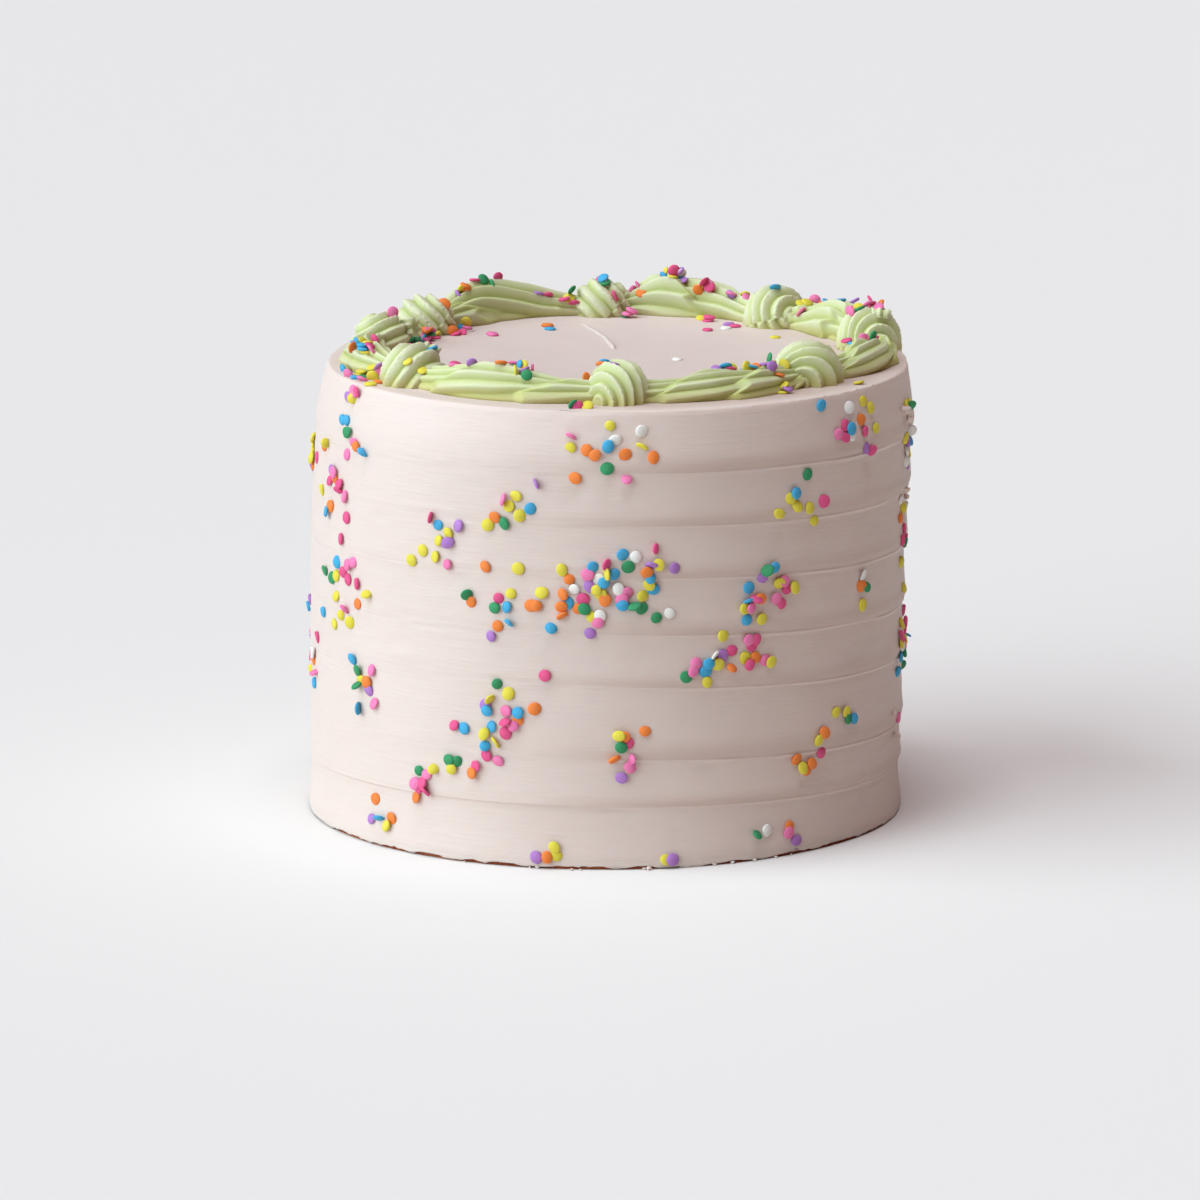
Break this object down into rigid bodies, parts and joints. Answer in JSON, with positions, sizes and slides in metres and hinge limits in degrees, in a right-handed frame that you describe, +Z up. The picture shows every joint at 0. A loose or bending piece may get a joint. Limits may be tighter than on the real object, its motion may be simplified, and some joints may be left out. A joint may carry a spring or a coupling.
{
  "type": "layer cake",
  "caption": "Tall round frosted layer cake with spatula-combed sides, a piped border of swirls and garlands, and round sugar confetti",
  "frame": {"origin": "centre of the flat base, on the surface that the cake stands on", "axes": "+Z up, the front that the picture shows towards -Y, +X to the right seen from the front"},
  "size_m": [0.2074, 0.208, 0.1704],
  "materials": {
    "frosting": "satin",
    "piped_green": "satin",
    "sponge": "matte",
    "confetti_pink": "matte",
    "confetti_yellow": "matte",
    "confetti_orange": "matte",
    "confetti_blue": "matte",
    "confetti_green": "matte",
    "confetti_purple": "matte",
    "confetti_white": "matte"
  },
  "bodies": {
    "root": {"sponge_foot": "sponge", "frosted_cake": "frosting", "swirl_1": "piped_green", "swirl_2": "piped_green", "swirl_3": "piped_green", "swirl_4": "piped_green", "swirl_5": "piped_green", "swirl_6": "piped_green", "swirl_7": "piped_green", "swirl_8": "piped_green", "garland_1": "piped_green", "garland_2": "piped_green", "garland_3": "piped_green", "garland_4": "piped_green", "garland_5": "piped_green", "garland_6": "piped_green", "garland_7": "piped_green"}
  },
  "joints": []
}
